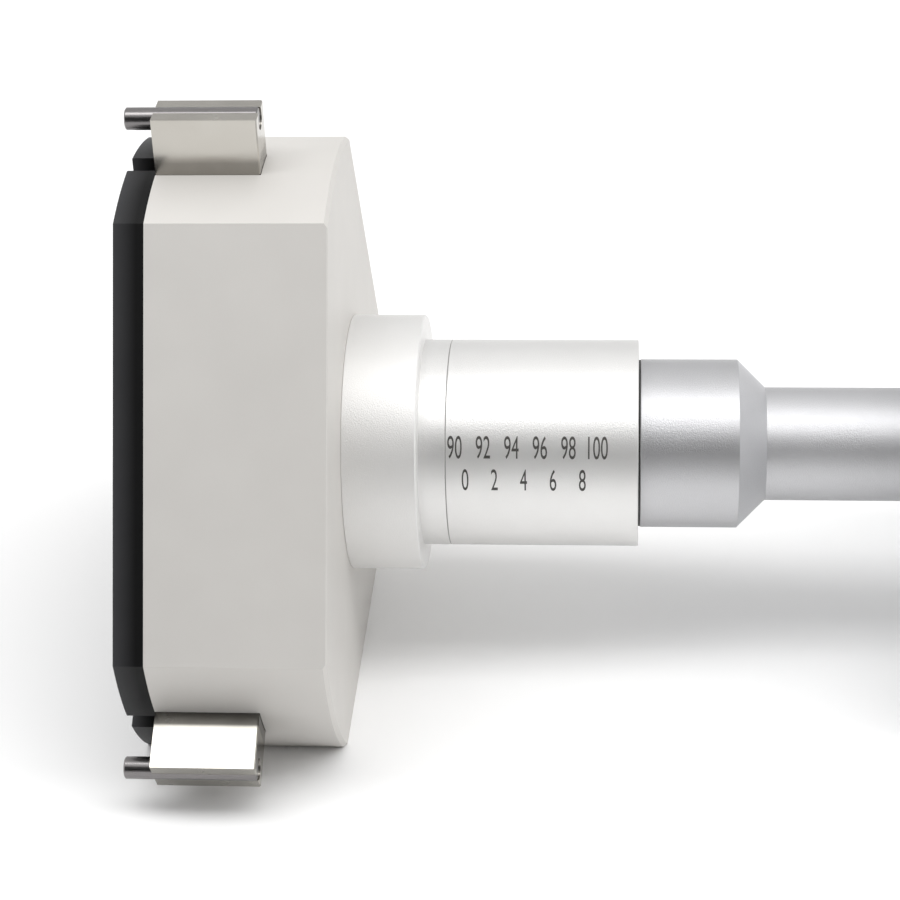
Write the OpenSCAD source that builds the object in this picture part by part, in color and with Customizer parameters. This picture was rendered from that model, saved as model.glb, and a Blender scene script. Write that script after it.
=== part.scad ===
// Digital three-point inside micrometer. The axis of the instrument is X: the measuring head is at
// x = 0 and the handle runs to +X. The head rests on one of its three flats, which faces -Z.
// Turning the thimble screws the spindle forward, and the cone then spreads the three anvils.

/* [Measuring range] */
// Smallest bore that the head measures
range_min_d = 87; // [86:0.5:92]
// Largest bore that the head measures
range_max_d = 100; // [97:0.5:102]
// Diameter over the contacts as drawn
drawn_d = 99; // [96:0.5:100]

/* [Head] */
// Radius of the round head body
head_r = 41.7; // [40:0.1:42.5]
// Distance from the axis to each of the three flats
flat_dist = 31.1; // [28:0.1:34]
// Wall behind the cone's bore in the head body
head_wall = 1.9; // [1.8:0.1:9]
// Thickness of the black front cap
cap_len = 3.9; // [3:0.1:6]
// Chamfer of the turned edges
edge_chamfer = 0.5; // [0.2:0.1:1]
// Distance of the cap screws from the axis
cap_screw_r = 25; // [22.5:0.5:26]
// Free depth of a cap notch under the drawn-in pin
notch_free = 2; // [0.5:0.1:4]

/* [Anvils] */
// Width of an anvil
anvil_w = 6.2; // [5.5:0.1:8]
// Length of an anvil along the axis
anvil_len = 13.6; // [12.5:0.1:14.5]
// Diameter of the contact pins
pin_d = 2.9; // [2.4:0.1:3.4]
// How far a pin stands out over the anvil tip
pin_proud = 0.3; // [0.1:0.05:0.5]
// How far a pin reaches in front of the anvil
pin_reach = 3.7; // [3:0.1:6]
// Diameter of the spring stop pins
stop_d = 2.5; // [2:0.1:3]
// Distance of the spring stop pins from the axis
stop_r = 32.6; // [31:0.1:33]
// Outer diameter of the anvil return springs
spring_d = 2.6; // [2:0.1:3]
// Wire diameter of the anvil return springs
spring_wire = 0.45; // [0.3:0.05:0.6]

/* [Cone and push rod] */
// Radius of the cone at its nose
cone_nose_r = 6; // [5:0.1:7]
// Straight land behind the cone
cone_land = 0.9; // [0.5:0.1:1.5]
// Diameter of the push rod
push_d = 8; // [6:0.1:8.4]
// Diameter of the ball between push rod and spindle
ball_d = 5; // [4:0.1:5.6]

/* [Collar, sleeve and rod] */
// Diameter of the flange collar
collar_d = 34.7; // [33:0.1:38]
// Length of the flange collar
collar_len = 9.8; // [8:0.1:14]
// Diameter of the sleeve
sleeve_d = 28; // [25:0.1:31]
// Length of the sleeve with its lock ring
sleeve_len = 28.9; // [24:0.1:50]
// Length of the lock ring in front of the sleeve
ring_len = 3.6; // [2:0.1:6]
// Width of the dark seal between sleeve and shoulder
seal_len = 0.25; // [0.2:0.05:1]
// Diameter of the shoulder
shoulder_d = 22.8; // [21:0.1:25]
// Length of the shoulder
shoulder_len = 13; // [8:0.1:20]
// Diameter of the rod
rod_d = 15.3; // [14:0.1:16]
// Free length of the rod between shoulder and housing
rod_free = 25.2; // [15:0.1:80]
// Length of the rod inside the housing
rod_inside = 20; // [19:0.1:22]
// Length of the rod in the barrel
rod_seat = 12; // [10:0.1:14]

/* [Display housing] */
// Length of the housing along the axis
housing_len = 62; // [58:0.5:80]
// Width of the housing
housing_w = 58.2; // [54:0.2:66]
// Depth from the axis to the display face
housing_front_z = 17; // [16.5:0.1:22]
// Depth from the axis to the rear face
housing_rear_z = 15; // [14.5:0.1:20]
// Radius of the long housing edges
housing_edge_r = 5; // [4:0.1:7]
// Wall thickness of the housing
wall = 2; // [1.6:0.1:2.2]
// Length of the display window
window_len = 40; // [30:0.5:44]
// Height of the display window
window_h = 21; // [16:0.5:22]
// Diameter of the push buttons
button_d = 8; // [6:0.1:9]
// Pitch of the push buttons
button_pitch = 13; // [11:0.1:15]
// How far the buttons stand out
button_proud = 1; // [0.8:0.1:2]
// Travel of the buttons
button_travel = 0.5; // [0.3:0.05:0.6]
// Diameter of the coin cell
battery_d = 16; // [12:0.1:16]
// Thickness of the coin cell
battery_t = 3.2; // [2:0.1:3.2]

/* [Handle] */
// Diameter of the barrel
barrel_d = 19; // [18.6:0.1:20]
// Length of the barrel behind the housing
barrel_out = 28; // [22:0.5:50]
// Diameter of the measuring screw
screw_d = 8; // [7:0.1:8.6]
// Length of the screw nut
nut_len = 26; // [18:0.5:30]
// Diameter of the thimble
thimble_d = 23; // [22:0.1:28]
// Length of the thimble skirt over the barrel
thimble_skirt = 26; // [18:0.5:26]
// Diameter of the ratchet knob
ratchet_d = 16; // [14.5:0.1:20]
// Length of the ratchet knob
ratchet_len = 15.5; // [14:0.5:24]
// Number of grip flutes on the ratchet knob
ratchet_flutes = 24; // [12:1:30]

/* [Hidden] */
$fn = 96;

// Clearances: running fit and seat of a fixed piece, both on the radius, and a free gap
fit = 0.05;
seat = 0.03;
gap = 0.3;
// Margin by which a cut runs past the face it opens
over = 1;

// Angles round the axis: 0 is +Y and 90 is +Z
ANVIL_ANGLES = [90, 210, 330];
FLAT_ANGLES = [270, 30, 150];
// The display faces the same way as the flat that is turned to the reader
display_turn = 60;

// Travel of the anvils, and how far they are drawn short of the largest bore
travel = (range_max_d - range_min_d) / 2;
opening = (range_max_d - drawn_d) / 2;
contact_r = drawn_d / 2;
pin_r = contact_r - pin_d / 2;
tip_r = contact_r - pin_proud;

// 45 degree cone and the slanted inner faces of the anvils that ride on it
cone_x = gap + opening;
wedge_x = gap + travel;
wedge_len = anvil_len - wedge_x;
cone_run = travel + wedge_len;
cone_r = cone_nose_r + cone_run;
cone_len = cone_run + cone_land;
anvil_in = cone_nose_r + wedge_x - cone_x + fit;
bore_len = gap + travel + cone_len + gap;
head_len = bore_len + head_wall;

// Spring pocket in the back of each anvil
pocket_w = spring_d + 2 * gap;
pocket_x = anvil_len - pocket_w - 2 * gap;
pocket_in = anvil_in + wedge_len + 2;
pocket_out = stop_r + stop_d / 2 + contact_r - range_min_d / 2 + gap;
spring_turns = 9;

// Stations along the axis
collar_end = head_len + collar_len;
ring_end = collar_end + ring_len;
sleeve_end = collar_end + sleeve_len;
shoulder_x = sleeve_end + seal_len;
shoulder_end = shoulder_x + shoulder_len;
rod_x = shoulder_end + (shoulder_d - rod_d) / 2;
housing_x = rod_x + rod_free;
housing_end = housing_x + housing_len;
rod_end = housing_x + rod_inside;
barrel_x = rod_end - rod_seat;
barrel_end = housing_end + barrel_out;
spigot_len = 8;
spigot_r = 10;
rod_spigot_len = 10;
rod_spigot_r = 8;
rod_bore_r = 5;

// Push rod, ball and spindle follow the cone
push_x = cone_x + cone_len;
push_out = 3.5;
push_end = rod_end + push_out + opening;
ball_proud = 0.7 * ball_d;
tip_x = push_end + ball_proud + seat;
shank_r = 3;

// Encoder in the barrel's chamber
rotor_free = 2;
rotor_x = rod_end + push_out + travel + rotor_free;
rotor_hub_len = 5;
rotor_hub_r = 5;
rotor_disc_x = rotor_x + rotor_hub_len / 2;
rotor_disc_t = 1.5;
encoder_gap = 0.5;
stator_t = 1.2;
stator_x = rotor_disc_x + rotor_disc_t + encoder_gap;
chamber_end = stator_x + stator_t;
chamber_wall = 0.9;
chamber_r = barrel_d / 2 - chamber_wall;
nut_r = 6.5;
nut_free = 4;
nut_x = chamber_end + nut_free;
screw_x = chamber_end + nut_free / 2 - gap + opening;

// Thimble and ratchet follow the spindle
thimble_free = 5.5;
thimble_wall_x = barrel_end + thimble_free + opening;
thimble_wall_t = 4;
thimble_x = thimble_wall_x - thimble_skirt;
thimble_end = thimble_wall_x + thimble_wall_t;
knob_x = thimble_end + gap;
knob_end = knob_x + ratchet_len;
stub_r = 3.5;
stem_r = 2.5;
knob_recess_r = 6;
knob_recess_len = 5.5;
knob_hole_len = 6;
stem_end = knob_end - knob_hole_len;
ratchet_head_r = 4.2;
ratchet_head_t = 2.5;
ratchet_screw_r = 1.5;
ratchet_screw_len = 6;

// Housing interior, in the display's own frame: z is out of the display, y is up on it
board_z = barrel_d / 2 + 0.7;
board_t = 1.6;
board_top = board_z + board_t;
inner_front_z = housing_front_z - wall;
inner_rear_z = housing_rear_z - wall;
board_inset = 5;
board_x = housing_x + board_inset;
board_len = housing_len - 2 * board_inset;
board_w = 40;
boss_r = 2.6;
boss_inset = wall + boss_r + 0.4;
boss_y = housing_w / 2 - boss_inset;
mid_x = housing_x + housing_len / 2;
window_y = 7;
window_lip = 1.2;
button_y = -14;
switch_t = 0.8;
button_flange_t = 1;
battery_y = -13;
battery_top = -(inner_rear_z - gap - battery_t);
cover_r = battery_d / 2 + 2.5;
contact_t = 0.4;
contact_leg_y = -barrel_d / 2 - 2;

// A turned piece from its half section, a list of [x, radius]
module turned(section) {
    rotate([0, 90, 0])
        rotate_extrude()
            polygon([for (p = section) [p[1], p[0]]]);
}

// A plain cylinder along the axis from x0 to x1
module bar(x0, x1, r) {
    translate([x0, 0, 0])
        rotate([0, 90, 0])
            cylinder(r = r, h = x1 - x0);
}

// A tube along the axis
module pipe(x0, x1, outer_r, inner_r) {
    difference() {
        bar(x0, x1, outer_r);
        bar(x0 - over, x1 + over, inner_r);
    }
}

// Turns its children so that +Y points outward at an angle round the axis
module radial(angle) {
    rotate([angle, 0, 0])
        children();
}

// A coil spring along Z from the origin, swept round its centre line
module coil(height, outer_d, wire, turns) {
    sides = 6;
    steps = turns * 14;
    mean_r = (outer_d - wire) / 2;
    rise = height - wire;
    points = [for (i = [0:steps]) for (k = [0:sides - 1])
        let (a = 360 * turns * i / steps, b = 360 * k / sides)
        [(mean_r + wire / 2 * cos(b)) * cos(a),
         (mean_r + wire / 2 * cos(b)) * sin(a),
         wire / 2 + rise * i / steps + wire / 2 * sin(b)]];
    walls = [for (i = [0:steps - 1]) for (k = [0:sides - 1])
        let (n = (k + 1) % sides)
        [i * sides + k, i * sides + n, (i + 1) * sides + n, (i + 1) * sides + k]];
    start = [[for (k = [sides - 1:-1:0]) k]];
    finish = [[for (k = [0:sides - 1]) steps * sides + k]];
    polyhedron(points, concat(start, walls, finish));
}

// Three flats cut on a disc that ends at x1, each with a chamfer on its rear edge. The chamfer is a
// little steeper than the one of the round rim, so that the two meet in a clean corner.
module flats(x0, x1, chamfer) {
    steep = 0.9;
    for (angle = FLAT_ANGLES)
        radial(angle)
            linear_extrude(height = 2 * head_r, center = true)
                polygon([[x0 - over, flat_dist], [x1 - steep * chamfer, flat_dist],
                    [x1 + over, flat_dist - chamfer - over / steep],
                    [x1 + over, head_r + over], [x0 - over, head_r + over]]);
}

// A countersunk screw whose head is flush at x, pointing to +X
countersink_r = 2.9;
countersink_t = 1.5;
screw_r = 1.5;
module countersunk(x, len, radius_gap = 0) {
    turned([[x, 0], [x, countersink_r + radius_gap],
        [x + countersink_t, screw_r + radius_gap], [x + len + radius_gap, screw_r + radius_gap],
        [x + len + radius_gap, 0]]);
}

module hex_socket(x, depth, r) {
    translate([x - over, 0, 0])
        rotate([0, 90, 0])
            cylinder(r = r, h = depth + over, $fn = 6);
}

cap_screw_len = 9;
collar_screw_len = 7.5;
collar_screw_r = (collar_d / 2 + spigot_r) / 2;
stop_depth = (head_len - anvil_len) / 2;
bush_r = 6;

module head_body() {
    color("gainsboro")
        difference() {
            turned([[0, 0], [0, head_r], [head_len - edge_chamfer, head_r],
                [head_len, head_r - edge_chamfer], [head_len, 0]]);
            flats(0, head_len, edge_chamfer / 3);
            bar(-over, bore_len, cone_r + fit);
            bar(-over, head_len + over, bush_r + seat);
            for (angle = ANVIL_ANGLES)
                radial(angle) {
                    translate([-over, 0, -anvil_w / 2 - fit])
                        cube([anvil_len + fit + over, head_r + over, anvil_w + 2 * fit]);
                    translate([0, stop_r, 0])
                        bar(anvil_len - over, anvil_len + stop_depth + gap, stop_d / 2 + seat);
                }
            for (angle = FLAT_ANGLES)
                radial(angle) {
                    translate([0, cap_screw_r, 0])
                        bar(-over, cap_screw_len - cap_len + gap, screw_r + seat);
                    translate([0, collar_screw_r, 0])
                        countersunk(bore_len, collar_screw_len, seat);
                }
        }
}

notch_w = pin_d + 3 * gap;
module front_cap() {
    color([0.11, 0.11, 0.12])
        difference() {
            mirror([1, 0, 0])
                difference() {
                    turned([[0, 0], [0, head_r], [cap_len - edge_chamfer / 5, head_r],
                        [cap_len, head_r - edge_chamfer / 5], [cap_len, 0]]);
                    flats(0, cap_len, edge_chamfer / 5);
                }
            for (angle = ANVIL_ANGLES)
                radial(angle)
                    translate([-cap_len - over, range_min_d / 2 - pin_d - notch_free, -notch_w / 2])
                        cube([cap_len + 2 * over, head_r, notch_w]);
            for (angle = FLAT_ANGLES)
                radial(angle)
                    translate([0, cap_screw_r, 0])
                        countersunk(-cap_len, cap_screw_len, seat);
        }
}

module cap_screws() {
    color("dimgray")
        for (angle = FLAT_ANGLES)
            radial(angle)
                translate([0, cap_screw_r, 0])
                    difference() {
                        countersunk(-cap_len, cap_screw_len);
                        hex_socket(-cap_len, 1.2, 1.1);
                    }
}

// One anvil: slanted inner face, deburred rear edges, pin groove and spring pocket
module anvil_block() {
    c = edge_chamfer / 3;
    h = anvil_w / 2;
    difference() {
        intersection() {
            linear_extrude(height = anvil_w, center = true)
                polygon([[fit, anvil_in], [wedge_x, anvil_in],
                    [anvil_len, anvil_in + wedge_len], [anvil_len, tip_r - c],
                    [anvil_len - c, tip_r], [fit, tip_r]]);
            rotate([-90, 0, 0])
                linear_extrude(height = 2 * head_r)
                    polygon([[0, -h], [anvil_len - c, -h], [anvil_len, c - h],
                        [anvil_len, h - c], [anvil_len - c, h], [0, h]]);
        }
        translate([0, pin_r, 0])
            bar(-over, anvil_len + over, pin_d / 2 + seat);
        translate([pocket_x, pocket_in, -pocket_w / 2])
            cube([anvil_len, pocket_out - pocket_in, pocket_w]);
    }
}

module anvil(i) {
    color("silver")
        radial(ANVIL_ANGLES[i])
            anvil_block();
}

module contact_pin(i) {
    c = edge_chamfer / 3;
    r = pin_d / 2;
    color("dimgray")
        radial(ANVIL_ANGLES[i])
            translate([0, pin_r, 0])
                turned([[-pin_reach, 0], [-pin_reach, r - c], [c - pin_reach, r],
                    [anvil_len - 2 * c, r], [anvil_len - c, r - c], [anvil_len - c, 0]]);
}

module return_spring(i) {
    spring_len = stop_r - stop_d / 2 - pocket_in - 2 * seat;
    color("silver")
        radial(ANVIL_ANGLES[i])
            translate([pocket_x + pocket_w / 2 + gap, pocket_in + seat, 0])
                rotate([-90, 0, 0])
                    coil(spring_len, spring_d, spring_wire, spring_turns);
}

module stop_pins() {
    color("gray")
        for (angle = ANVIL_ANGLES)
            radial(angle)
                translate([0, stop_r, 0])
                    bar(pocket_x + gap, anvil_len + stop_depth, stop_d / 2);
}

cone_screw_r = 2;
cone_screw_len = 14;
cone_head_r = 3.6;
cone_head_t = 3;
module cone() {
    color("darkgray")
        difference() {
            turned([[cone_x, 0], [cone_x, cone_nose_r], [cone_x + cone_run, cone_r],
                [cone_x + cone_len, cone_r], [cone_x + cone_len, 0]]);
            bar(cone_x - over, cone_x + cone_head_t + gap, cone_head_r + seat);
            bar(cone_x, cone_x + cone_len + over, cone_screw_r + seat);
        }
}

module cone_screw() {
    head_x = cone_x + gap;
    color("dimgray")
        difference() {
            union() {
                bar(head_x, head_x + cone_head_t, cone_head_r);
                bar(head_x, head_x + cone_head_t + cone_screw_len, cone_screw_r);
            }
            hex_socket(head_x, 1.8, 1.7);
        }
}

module push_rod() {
    color("silver")
        difference() {
            bar(push_x, push_end, push_d / 2);
            bar(push_x - over, cone_x + cone_head_t + cone_screw_len + 2 * gap,
                cone_screw_r + seat);
            translate([push_end + ball_proud - ball_d / 2, 0, 0])
                sphere(r = ball_d / 2 + seat);
        }
}

module push_ball() {
    color("silver")
        translate([push_end + ball_proud - ball_d / 2, 0, 0])
            sphere(d = ball_d);
}

// Bush in the back wall of the head, up to the front of the sleeve's spigot
module front_bush() {
    color("goldenrod")
        pipe(bore_len, collar_end - spigot_len, bush_r, push_d / 2 + fit);
}

module rear_bush() {
    color("goldenrod")
        pipe(rod_end - rod_seat, rod_end, rod_bore_r - seat, push_d / 2 + fit);
}

module collar() {
    c = edge_chamfer / 3;
    r = collar_d / 2;
    color("gainsboro")
        difference() {
            turned([[head_len, spigot_r + seat], [head_len, r - c / 2], [head_len + c / 2, r],
                [collar_end - c, r], [collar_end, r - c], [collar_end, spigot_r + seat]]);
            for (angle = FLAT_ANGLES)
                radial(angle)
                    translate([0, collar_screw_r, 0])
                        bar(head_len - over, bore_len + collar_screw_len + gap, screw_r + seat);
        }
}

module collar_screws() {
    color("dimgray")
        for (angle = FLAT_ANGLES)
            radial(angle)
                translate([0, collar_screw_r, 0])
                    difference() {
                        countersunk(bore_len, collar_screw_len);
                        hex_socket(bore_len, 1.2, 1.1);
                    }
}

seam = 0.1;
module lock_ring() {
    r = sleeve_d / 2;
    color("lightgray")
        turned([[collar_end, spigot_r + seat], [collar_end, r], [ring_end - seam, r],
            [ring_end, r - seam], [ring_end, spigot_r + seat]]);
}

module sleeve() {
    r = sleeve_d / 2;
    socket_x = shoulder_x - rod_spigot_len - gap;
    color("lightgray")
        turned([[collar_end - spigot_len, rod_bore_r], [collar_end - spigot_len, spigot_r],
            [ring_end, spigot_r], [ring_end, r - seam], [ring_end + seam, r],
            [sleeve_end - seam, r], [sleeve_end, r - seam], [sleeve_end, rod_spigot_r + seat],
            [socket_x, rod_spigot_r + seat], [socket_x, rod_bore_r]]);
}

module seal_ring() {
    color([0.06, 0.06, 0.06])
        pipe(sleeve_end, shoulder_x, shoulder_d / 2 - seam, rod_spigot_r + seat);
}

module rod() {
    r = shoulder_d / 2;
    c = edge_chamfer / 5;
    color("darkgray")
        turned([[shoulder_x - rod_spigot_len, rod_bore_r],
            [shoulder_x - rod_spigot_len, rod_spigot_r], [shoulder_x, rod_spigot_r],
            [shoulder_x, r - c], [shoulder_x + c, r], [shoulder_end, r], [rod_x, rod_d / 2],
            [rod_end, rod_d / 2], [rod_end, rod_bore_r]]);
}

// Core of the handle: it takes the rod in front, the encoder in its chamber and the nut behind
cable_slot = 4;
module barrel() {
    r = barrel_d / 2;
    bore_r = screw_d / 2 + 2 * gap;
    color("silver")
        difference() {
            turned([[barrel_x, rod_d / 2 + seat], [barrel_x, r], [barrel_end - edge_chamfer, r],
                [barrel_end, r - edge_chamfer], [barrel_end, bore_r],
                [nut_x + nut_len, bore_r], [nut_x + nut_len, nut_r + seat],
                [chamber_end, nut_r + seat], [chamber_end, chamber_r], [rod_end, chamber_r],
                [rod_end, rod_d / 2 + seat]]);
            rotate([display_turn, 0, 0])
                translate([stator_x - cable_slot, -cable_slot / 2, 0])
                    cube([cable_slot + stator_t, cable_slot, barrel_d]);
        }
}

module nut() {
    color("goldenrod")
        pipe(nut_x, nut_x + nut_len, nut_r, screw_d / 2 + fit);
}

module spindle() {
    color("silver")
        turned([[tip_x, 0], [tip_x, shank_r], [screw_x, shank_r], [screw_x, screw_d / 2],
            [thimble_wall_x, screw_d / 2], [thimble_wall_x, stub_r], [thimble_end, stub_r],
            [thimble_end, stem_r], [stem_end, stem_r], [stem_end, ratchet_screw_r + seat],
            [stem_end - ratchet_screw_len - gap, ratchet_screw_r + seat],
            [stem_end - ratchet_screw_len - gap, 0]]);
}

module encoder_stator() {
    color("darkgreen")
        pipe(stator_x, chamber_end, chamber_r - seat, rotor_hub_r + gap);
}

module encoder_rotor() {
    hub_end = rotor_x + rotor_hub_len;
    bore_r = shank_r + fit;
    disc_r = chamber_r - gap;
    color("peru")
        turned([[rotor_x, bore_r], [rotor_x, rotor_hub_r], [rotor_disc_x, rotor_hub_r],
            [rotor_disc_x, disc_r], [rotor_disc_x + rotor_disc_t, disc_r],
            [rotor_disc_x + rotor_disc_t, rotor_hub_r], [hub_end, rotor_hub_r],
            [hub_end, bore_r]]);
}

// Thimble with a thin skirt over the barrel and a thicker grip with a groove near its end
grip_step = 0.5;
grip_start = 8;
bevel_len = 3;
groove = 0.6;
module thimble() {
    r = thimble_d / 2;
    front_r = r - grip_step;
    grip_x = thimble_x + grip_start;
    inner_r = barrel_d / 2 + 2 * fit;
    color("silver")
        turned([[thimble_x, inner_r], [thimble_x, inner_r + 3 * seam],
            [thimble_x + bevel_len, front_r], [grip_x, front_r],
            [grip_x, r], [thimble_end - 3 * groove, r],
            [thimble_end - 3 * groove, r - groove], [thimble_end - 2 * groove, r - groove],
            [thimble_end - 2 * groove, r], [thimble_end - groove, r],
            [thimble_end, r - groove], [thimble_end, stub_r + seat],
            [thimble_wall_x, stub_r + seat], [thimble_wall_x, inner_r]]);
}

// Toothed disc on the stem, pressed against the thimble by a spring in the knob
disc_t = 2.2;
teeth = 12;
module ratchet_disc() {
    tooth = 0.6;
    outer_r = knob_recess_r - gap;
    color("gray")
        difference() {
            pipe(thimble_end, thimble_end + disc_t, outer_r, stem_r + fit);
            for (i = [0:teeth - 1])
                rotate([360 * i / teeth, 0, 0])
                    translate([thimble_end + disc_t, 0, 0])
                        linear_extrude(height = knob_recess_r)
                            polygon([[-tooth, 0], [over, 0], [over, tooth], [0, 1.5 * tooth]]);
        }
}

module ratchet_spring() {
    start = thimble_end + disc_t;
    color("silver")
        translate([start, 0, 0])
            rotate([0, 90, 0])
                coil(knob_x + knob_recess_len - start - seat, 2 * (knob_recess_r - 2 * gap), 0.6, 3);
}

module ratchet_knob() {
    c = 1;
    r = ratchet_d / 2;
    flute_r = 0.6;
    color("silver")
        difference() {
            turned([[knob_x, knob_recess_r], [knob_x, r - c / 2], [knob_x + c / 2, r],
                [knob_end - c, r], [knob_end, r - c], [knob_end, ratchet_head_r + gap],
                [stem_end + seat, ratchet_head_r + gap], [stem_end + seat, stem_r + fit],
                [knob_x + knob_recess_len, stem_r + fit],
                [knob_x + knob_recess_len, knob_recess_r]]);
            for (i = [0:ratchet_flutes - 1])
                rotate([360 * i / ratchet_flutes, 0, 0])
                    translate([0, r + flute_r / 3, 0])
                        bar(knob_x + 2 * c, knob_end - 2 * c, flute_r);
        }
}

module ratchet_screw() {
    head_x = stem_end + 2 * seat;
    color("dimgray")
        difference() {
            union() {
                bar(head_x, head_x + ratchet_head_t, ratchet_head_r);
                bar(stem_end - ratchet_screw_len, head_x + over, ratchet_screw_r);
            }
            translate([head_x + ratchet_head_t - 1, -0.5, -ratchet_head_r])
                cube([1 + over, 1, 2 * ratchet_head_r]);
        }
}

// Rounded block of the housing, smaller all round by an inset; the cross-section's long edges
// and the corners of its plan are rounded
module rounded_rect(x0, y0, x1, y1, r) {
    union() {
        translate([x0 + r, y0])
            square([x1 - x0 - 2 * r, y1 - y0]);
        translate([x0, y0 + r])
            square([x1 - x0, y1 - y0 - 2 * r]);
        for (x = [x0 + r, x1 - r])
            for (y = [y0 + r, y1 - r])
                translate([x, y])
                    circle(r = r);
    }
}

plan_r = 4;
module housing_block(inset) {
    half = housing_w / 2 - inset;
    x0 = housing_x + inset;
    x1 = housing_end - inset;
    intersection() {
        translate([x0, 0, 0])
            rotate([90, 0, 90])
                linear_extrude(height = x1 - x0)
                    rounded_rect(-half, inset - housing_rear_z, half, housing_front_z - inset,
                        housing_edge_r - inset);
        translate([0, 0, -housing_rear_z])
            linear_extrude(height = housing_rear_z + housing_front_z)
                rounded_rect(x0, -half, x1, half, plan_r - inset);
    }
}

// Half of the housing above (side = 1) or below (side = -1) the plane through the axis
module housing_half(side) {
    size = 2 * (housing_len + housing_w);
    intersection() {
        children();
        translate([mid_x - size / 2, -size / 2, side > 0 ? 0 : -size])
            cube(size);
    }
}

// Places of the four housing screws
module at_bosses() {
    for (x = [housing_x + boss_inset, housing_end - boss_inset])
        for (y = [-boss_y, boss_y])
            translate([x, y, 0])
                children();
}

// Bores for the rod and the barrel in the end walls
module shaft_bores() {
    bar(housing_x - over, barrel_x, rod_d / 2 + seat);
    bar(barrel_x - over, housing_end + over, barrel_d / 2 + seat);
}

// Two ribs from wall to wall that carry the barrel between the shells
rib_t = 3;
rib_inset = 14;
module ribs(z0, z1) {
    half = housing_w / 2 - wall + seat;
    for (x = [barrel_x + rib_t, housing_end - rib_inset])
        translate([x, -half, z0])
            cube([rib_t, 2 * half, z1 - z0]);
}

module button_places() {
    for (i = [-1:1])
        translate([mid_x + i * button_pitch, button_y, 0])
            children();
}

pilot_r = 1;
module housing_front() {
    color([0.16, 0.17, 0.19])
        rotate([display_turn, 0, 0])
            difference() {
                union() {
                    housing_half(1)
                        difference() {
                            housing_block(0);
                            housing_block(wall);
                        }
                    at_bosses()
                        cylinder(r = boss_r, h = inner_front_z + seat);
                    for (x = [board_x + 4, board_x + board_len - 4])
                        for (y = [-1, 1])
                            translate([x, y * (board_w / 2 - 2), board_top])
                                cylinder(r = 1.5, h = inner_front_z - board_top + seat);
                    ribs(0, board_z - gap);
                }
                shaft_bores();
                at_bosses()
                    translate([0, 0, -over])
                        cylinder(r = pilot_r + seat, h = screw_hold + 2 * over);
                translate([mid_x - window_len / 2 - seat, window_y - window_h / 2 - seat, 0])
                    cube([window_len + 2 * seat, window_h + 2 * seat, housing_front_z + over]);
                button_places()
                    cylinder(r = button_d / 2 + 2 * fit, h = housing_front_z + over);
            }
}

screw_head_r = 1.9;
screw_head_t = 1.3;
screw_hold = 8;
module housing_rear() {
    color([0.16, 0.17, 0.19])
        rotate([display_turn, 0, 0])
            difference() {
                union() {
                    housing_half(-1)
                        difference() {
                            housing_block(0);
                            housing_block(wall);
                        }
                    at_bosses()
                        translate([0, 0, -inner_rear_z - seat])
                            cylinder(r = boss_r, h = inner_rear_z + seat);
                    ribs(-inner_rear_z - seat, 0);
                }
                shaft_bores();
                at_bosses()
                    translate([0, 0, -housing_rear_z - over]) {
                        cylinder(r = pilot_r + fit, h = housing_rear_z + 2 * over);
                        cylinder(r = screw_head_r + fit, h = screw_head_t + gap + over);
                    }
                translate([mid_x, battery_y, -housing_rear_z - over])
                    cylinder(r = cover_r + seat, h = wall + 2 * over);
            }
}

module housing_screws() {
    head_z = gap - housing_rear_z;
    color("dimgray")
        rotate([display_turn, 0, 0])
            at_bosses()
                translate([0, 0, head_z])
                    difference() {
                        union() {
                            cylinder(r = screw_head_r, h = screw_head_t);
                            cylinder(r = pilot_r, h = housing_rear_z + screw_hold);
                        }
                        translate([-0.25, -screw_head_r, -over])
                            cube([0.5, 2 * screw_head_r, over + 0.6]);
                    }
}

// Clear window, flush with the display face of the housing
module display_window() {
    color([0.75, 0.82, 0.85, 0.4])
        rotate([display_turn, 0, 0])
            translate([mid_x - window_len / 2, window_y - window_h / 2, inner_front_z])
                cube([window_len, window_h, wall]);
}

module lcd_panel() {
    color([0.66, 0.71, 0.62])
        rotate([display_turn, 0, 0])
            translate([mid_x - window_len / 2 + window_lip,
                window_y - window_h / 2 + window_lip, board_top])
                cube([window_len - 2 * window_lip, window_h - 2 * window_lip,
                    inner_front_z - board_top - gap]);
}

module circuit_board() {
    color("darkgreen")
        rotate([display_turn, 0, 0])
            translate([board_x, -board_w / 2, board_z])
                cube([board_len, board_w, board_t]);
}

module switches() {
    color("black")
        rotate([display_turn, 0, 0])
            button_places()
                translate([0, 0, board_top])
                    cylinder(r = button_d / 4, h = switch_t);
}

// Push button: round cap, a flange behind the housing wall and a stem over its switch
module button(i) {
    top = housing_front_z + button_proud;
    flange_z = inner_front_z - gap - button_flange_t;
    stem_z = board_top + switch_t + button_travel + 0.1;
    color("darkorange")
        rotate([display_turn, 0, 0])
            translate([mid_x + (i - 1) * button_pitch, button_y, 0])
                rotate_extrude()
                    polygon([[0, stem_z], [button_d / 4, stem_z], [button_d / 4, flange_z],
                        [button_d / 2 + 2 * gap, flange_z],
                        [button_d / 2 + 2 * gap, flange_z + button_flange_t],
                        [button_d / 2, flange_z + button_flange_t], [button_d / 2, top - gap],
                        [button_d / 2 - gap, top], [0, top]]);
}

module battery() {
    color("silver")
        rotate([display_turn, 0, 0])
            translate([mid_x, battery_y, battery_top - battery_t])
                cylinder(d = battery_d, h = battery_t);
}

// Spring strip on the coin cell, with a leg up to the circuit board
module battery_contact() {
    strip_w = 5;
    color("goldenrod")
        rotate([display_turn, 0, 0])
            translate([mid_x - strip_w / 2, 0, battery_top]) {
                translate([0, battery_y - strip_w, 0])
                    cube([strip_w, contact_leg_y - battery_y + strip_w, contact_t]);
                translate([0, contact_leg_y - contact_t, 0])
                    cube([strip_w, contact_t, board_z - battery_top]);
            }
}

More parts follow.
